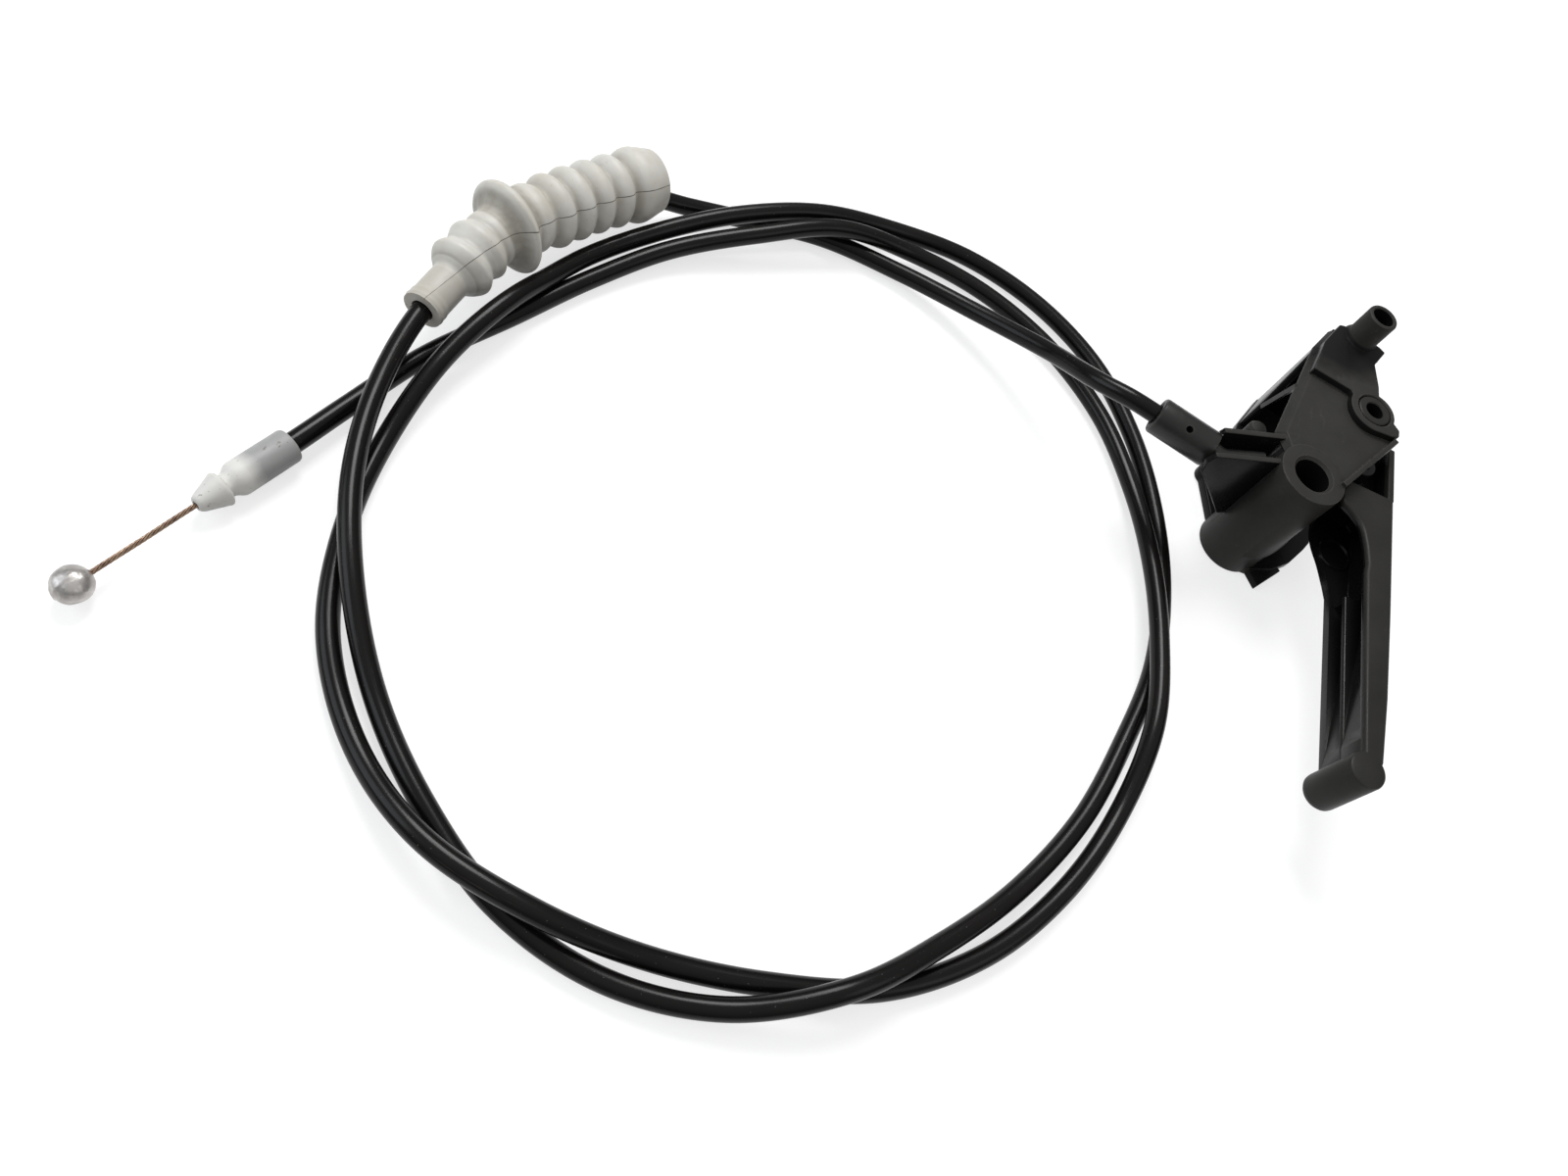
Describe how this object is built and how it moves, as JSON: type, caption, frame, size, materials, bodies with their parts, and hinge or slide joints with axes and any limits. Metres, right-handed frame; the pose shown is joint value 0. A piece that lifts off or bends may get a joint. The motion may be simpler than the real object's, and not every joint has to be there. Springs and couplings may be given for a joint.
{
  "type": "hood release handle",
  "caption": "Moulded hood release bracket with a hinged pull lever, and its sheathed cable laid in loops, with a bellows boot, a push-in end fitting and a ball end.",
  "frame": {"origin": "under the middle of the bracket, lever and conduit cap, on the surface that the bracket's back and the cable lie on", "axes": "+Z out of the bracket's front plate, along the lever's pivot; +Y from the lever's grip to the spigot; +X away from the cable"},
  "size_m": [0.2785, 0.2369, 0.048],
  "materials": {
    "black_plastic": "satin moulded",
    "black_sheath": "smooth, half gloss",
    "white_nylon": "milky, smooth",
    "grey_rubber": "matt",
    "bright_strand": "twisted strand",
    "cast_end": "die cast"
  },
  "bodies": {
    "bracket": {"bracket": "black_plastic", "conduit_cap": "black_plastic", "conduit": "black_sheath", "boot": "grey_rubber", "end_fitting": "white_nylon"},
    "lever": {"lever": "black_plastic", "wire_nipple": "cast_end"},
    "pull_wire": {"pull_wire": "bright_strand"},
    "cable_end": {"far_wire": "bright_strand", "far_ball": "cast_end"}
  },
  "joints": [
    {"name": "lever_pivot", "type": "hinge", "parent": "bracket", "child": "lever", "pos_m": [0.024, 0.04055, 0], "axis": [0, 0, 1], "range_deg": [0, 40]},
    {"name": "wire_slide", "type": "slide", "parent": "bracket", "child": "pull_wire", "axis": [0.9085, 0.4179, 0], "range_m": [0, 0.00976]},
    {"name": "end_slide", "type": "slide", "parent": "bracket", "child": "cable_end", "axis": [0.3625, 0.932, 0], "range_m": [0, 0.00976]}
  ],
  "couplings": [
    {"joint": "wire_slide", "follows": "lever_pivot", "m_per_rad": 0.013962},
    {"joint": "end_slide", "follows": "lever_pivot", "m_per_rad": 0.013962}
  ]
}
